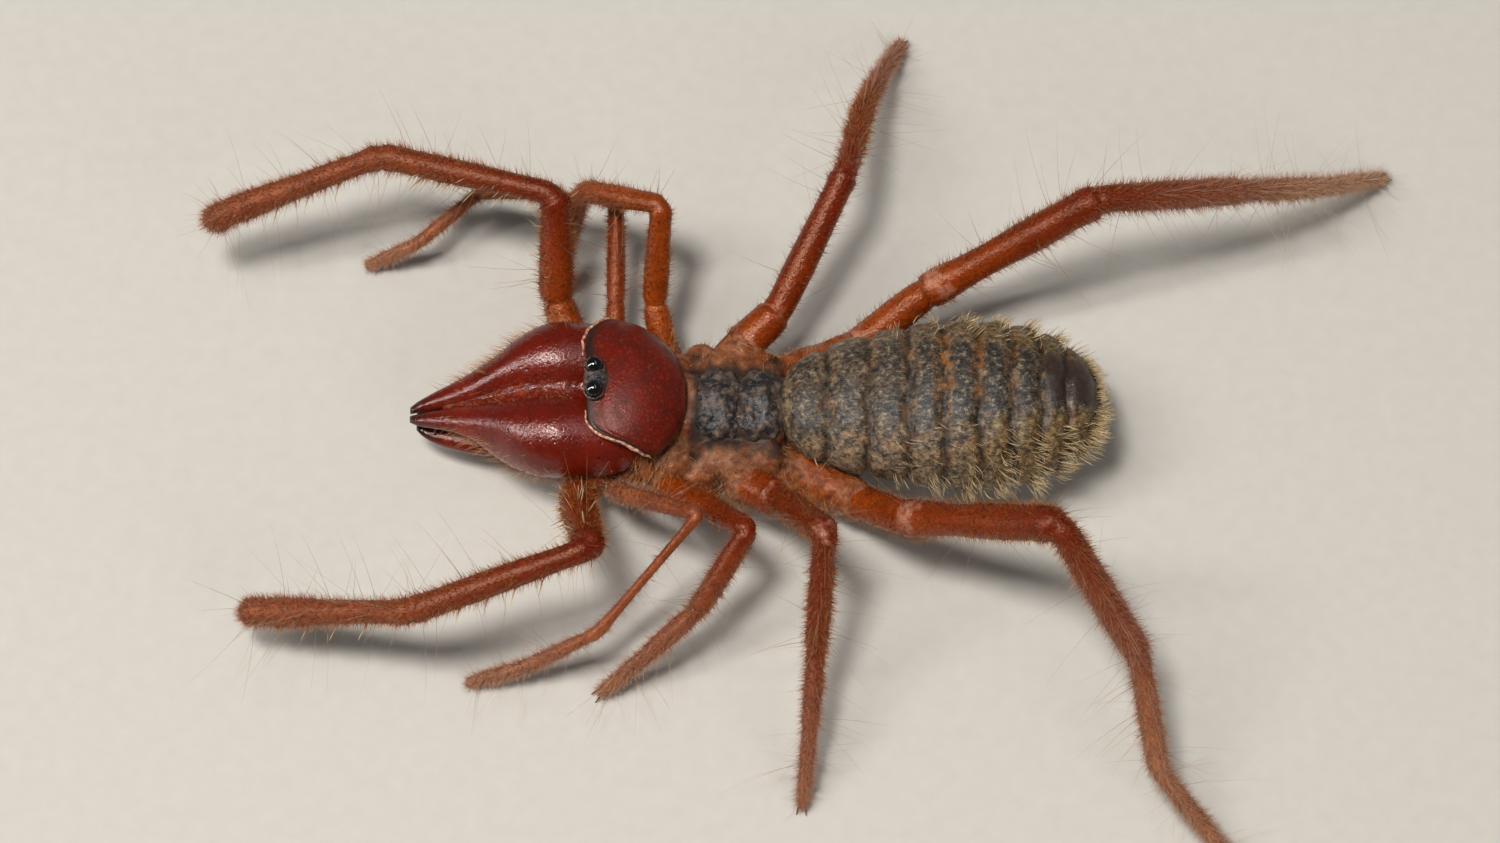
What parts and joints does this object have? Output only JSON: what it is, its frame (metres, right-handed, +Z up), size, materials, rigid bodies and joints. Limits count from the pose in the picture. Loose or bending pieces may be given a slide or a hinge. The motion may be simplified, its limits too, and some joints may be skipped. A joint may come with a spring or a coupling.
{
  "type": "camel spider",
  "caption": "Life-size still model of a camel spider (solifuge) walking with its palps raised, with large paired jaws, domed head plate, bristly ringed abdomen and jointed legs",
  "frame": {"origin": "on the ground under the middle of the model's box, level with the flat undersides of the feet", "axes": "+X points from the head to the rear of the body, -X the way the animal faces; +Y is its right side; +Z is up"},
  "size_m": [0.044, 0.0334, 0.0094],
  "materials": {
    "jaw": "smooth, glossy blood-red cuticle, darker at the tips",
    "head_plate": "satin maroon cuticle",
    "eye": "wet, glossy black lens",
    "waist_plate": "dull dark grey-brown plate",
    "flesh": "soft orange-pink skin, slightly shiny at the joints",
    "abdomen": "matt dark grey-brown skin with straw-coloured bristles",
    "leg": "satin red-brown cuticle with fine hairs",
    "foot": "satin orange-tan cuticle with fine hairs"
  },
  "bodies": {
    "root": {"abdomen": "abdomen", "chelicera_left": "jaw", "chelicera_right": "jaw", "cheliceral_finger_left": "jaw", "cheliceral_finger_right": "jaw", "eye_left": "eye", "eye_right": "eye", "leg_1_left_femur": "leg", "leg_1_left_metatarsus": "leg", "leg_1_left_tarsus": "foot", "leg_1_left_tibia": "leg", "leg_1_right_femur": "leg", "leg_1_right_metatarsus": "leg", "leg_1_right_tarsus": "foot", "leg_1_right_tibia": "leg", "leg_2_left_femur": "leg", "leg_2_left_metatarsus": "leg", "leg_2_left_tarsus": "foot", "leg_2_left_tibia": "leg", "leg_2_right_femur": "leg", "leg_2_right_metatarsus": "leg", "leg_2_right_tarsus": "foot", "leg_2_right_tibia": "leg", "leg_3_left_femur": "leg", "leg_3_left_metatarsus": "leg", "leg_3_left_tarsus": "foot", "leg_3_left_tibia": "leg", "leg_3_left_trochanter": "flesh", "leg_3_right_femur": "leg", "leg_3_right_metatarsus": "leg", "leg_3_right_tarsus": "foot", "leg_3_right_tibia": "leg", "leg_3_right_trochanter": "flesh", "leg_4_left_femur": "leg", "leg_4_left_metatarsus": "leg", "leg_4_left_tarsus": "foot", "leg_4_left_tibia": "leg", "leg_4_left_trochanter": "flesh", "leg_4_right_femur": "leg", "leg_4_right_metatarsus": "leg", "leg_4_right_tarsus": "foot", "leg_4_right_tibia": "leg", "leg_4_right_trochanter": "flesh", "mesopeltidium": "waist_plate", "metapeltidium": "waist_plate", "palp_left_femur": "leg", "palp_left_metatarsus": "leg", "palp_left_tarsus": "foot", "palp_left_tibia": "leg", "palp_right_femur": "leg", "palp_right_metatarsus": "leg", "palp_right_tarsus": "foot", "palp_right_tibia": "leg", "propeltidium": "head_plate", "prosoma": "flesh"}
  },
  "joints": []
}
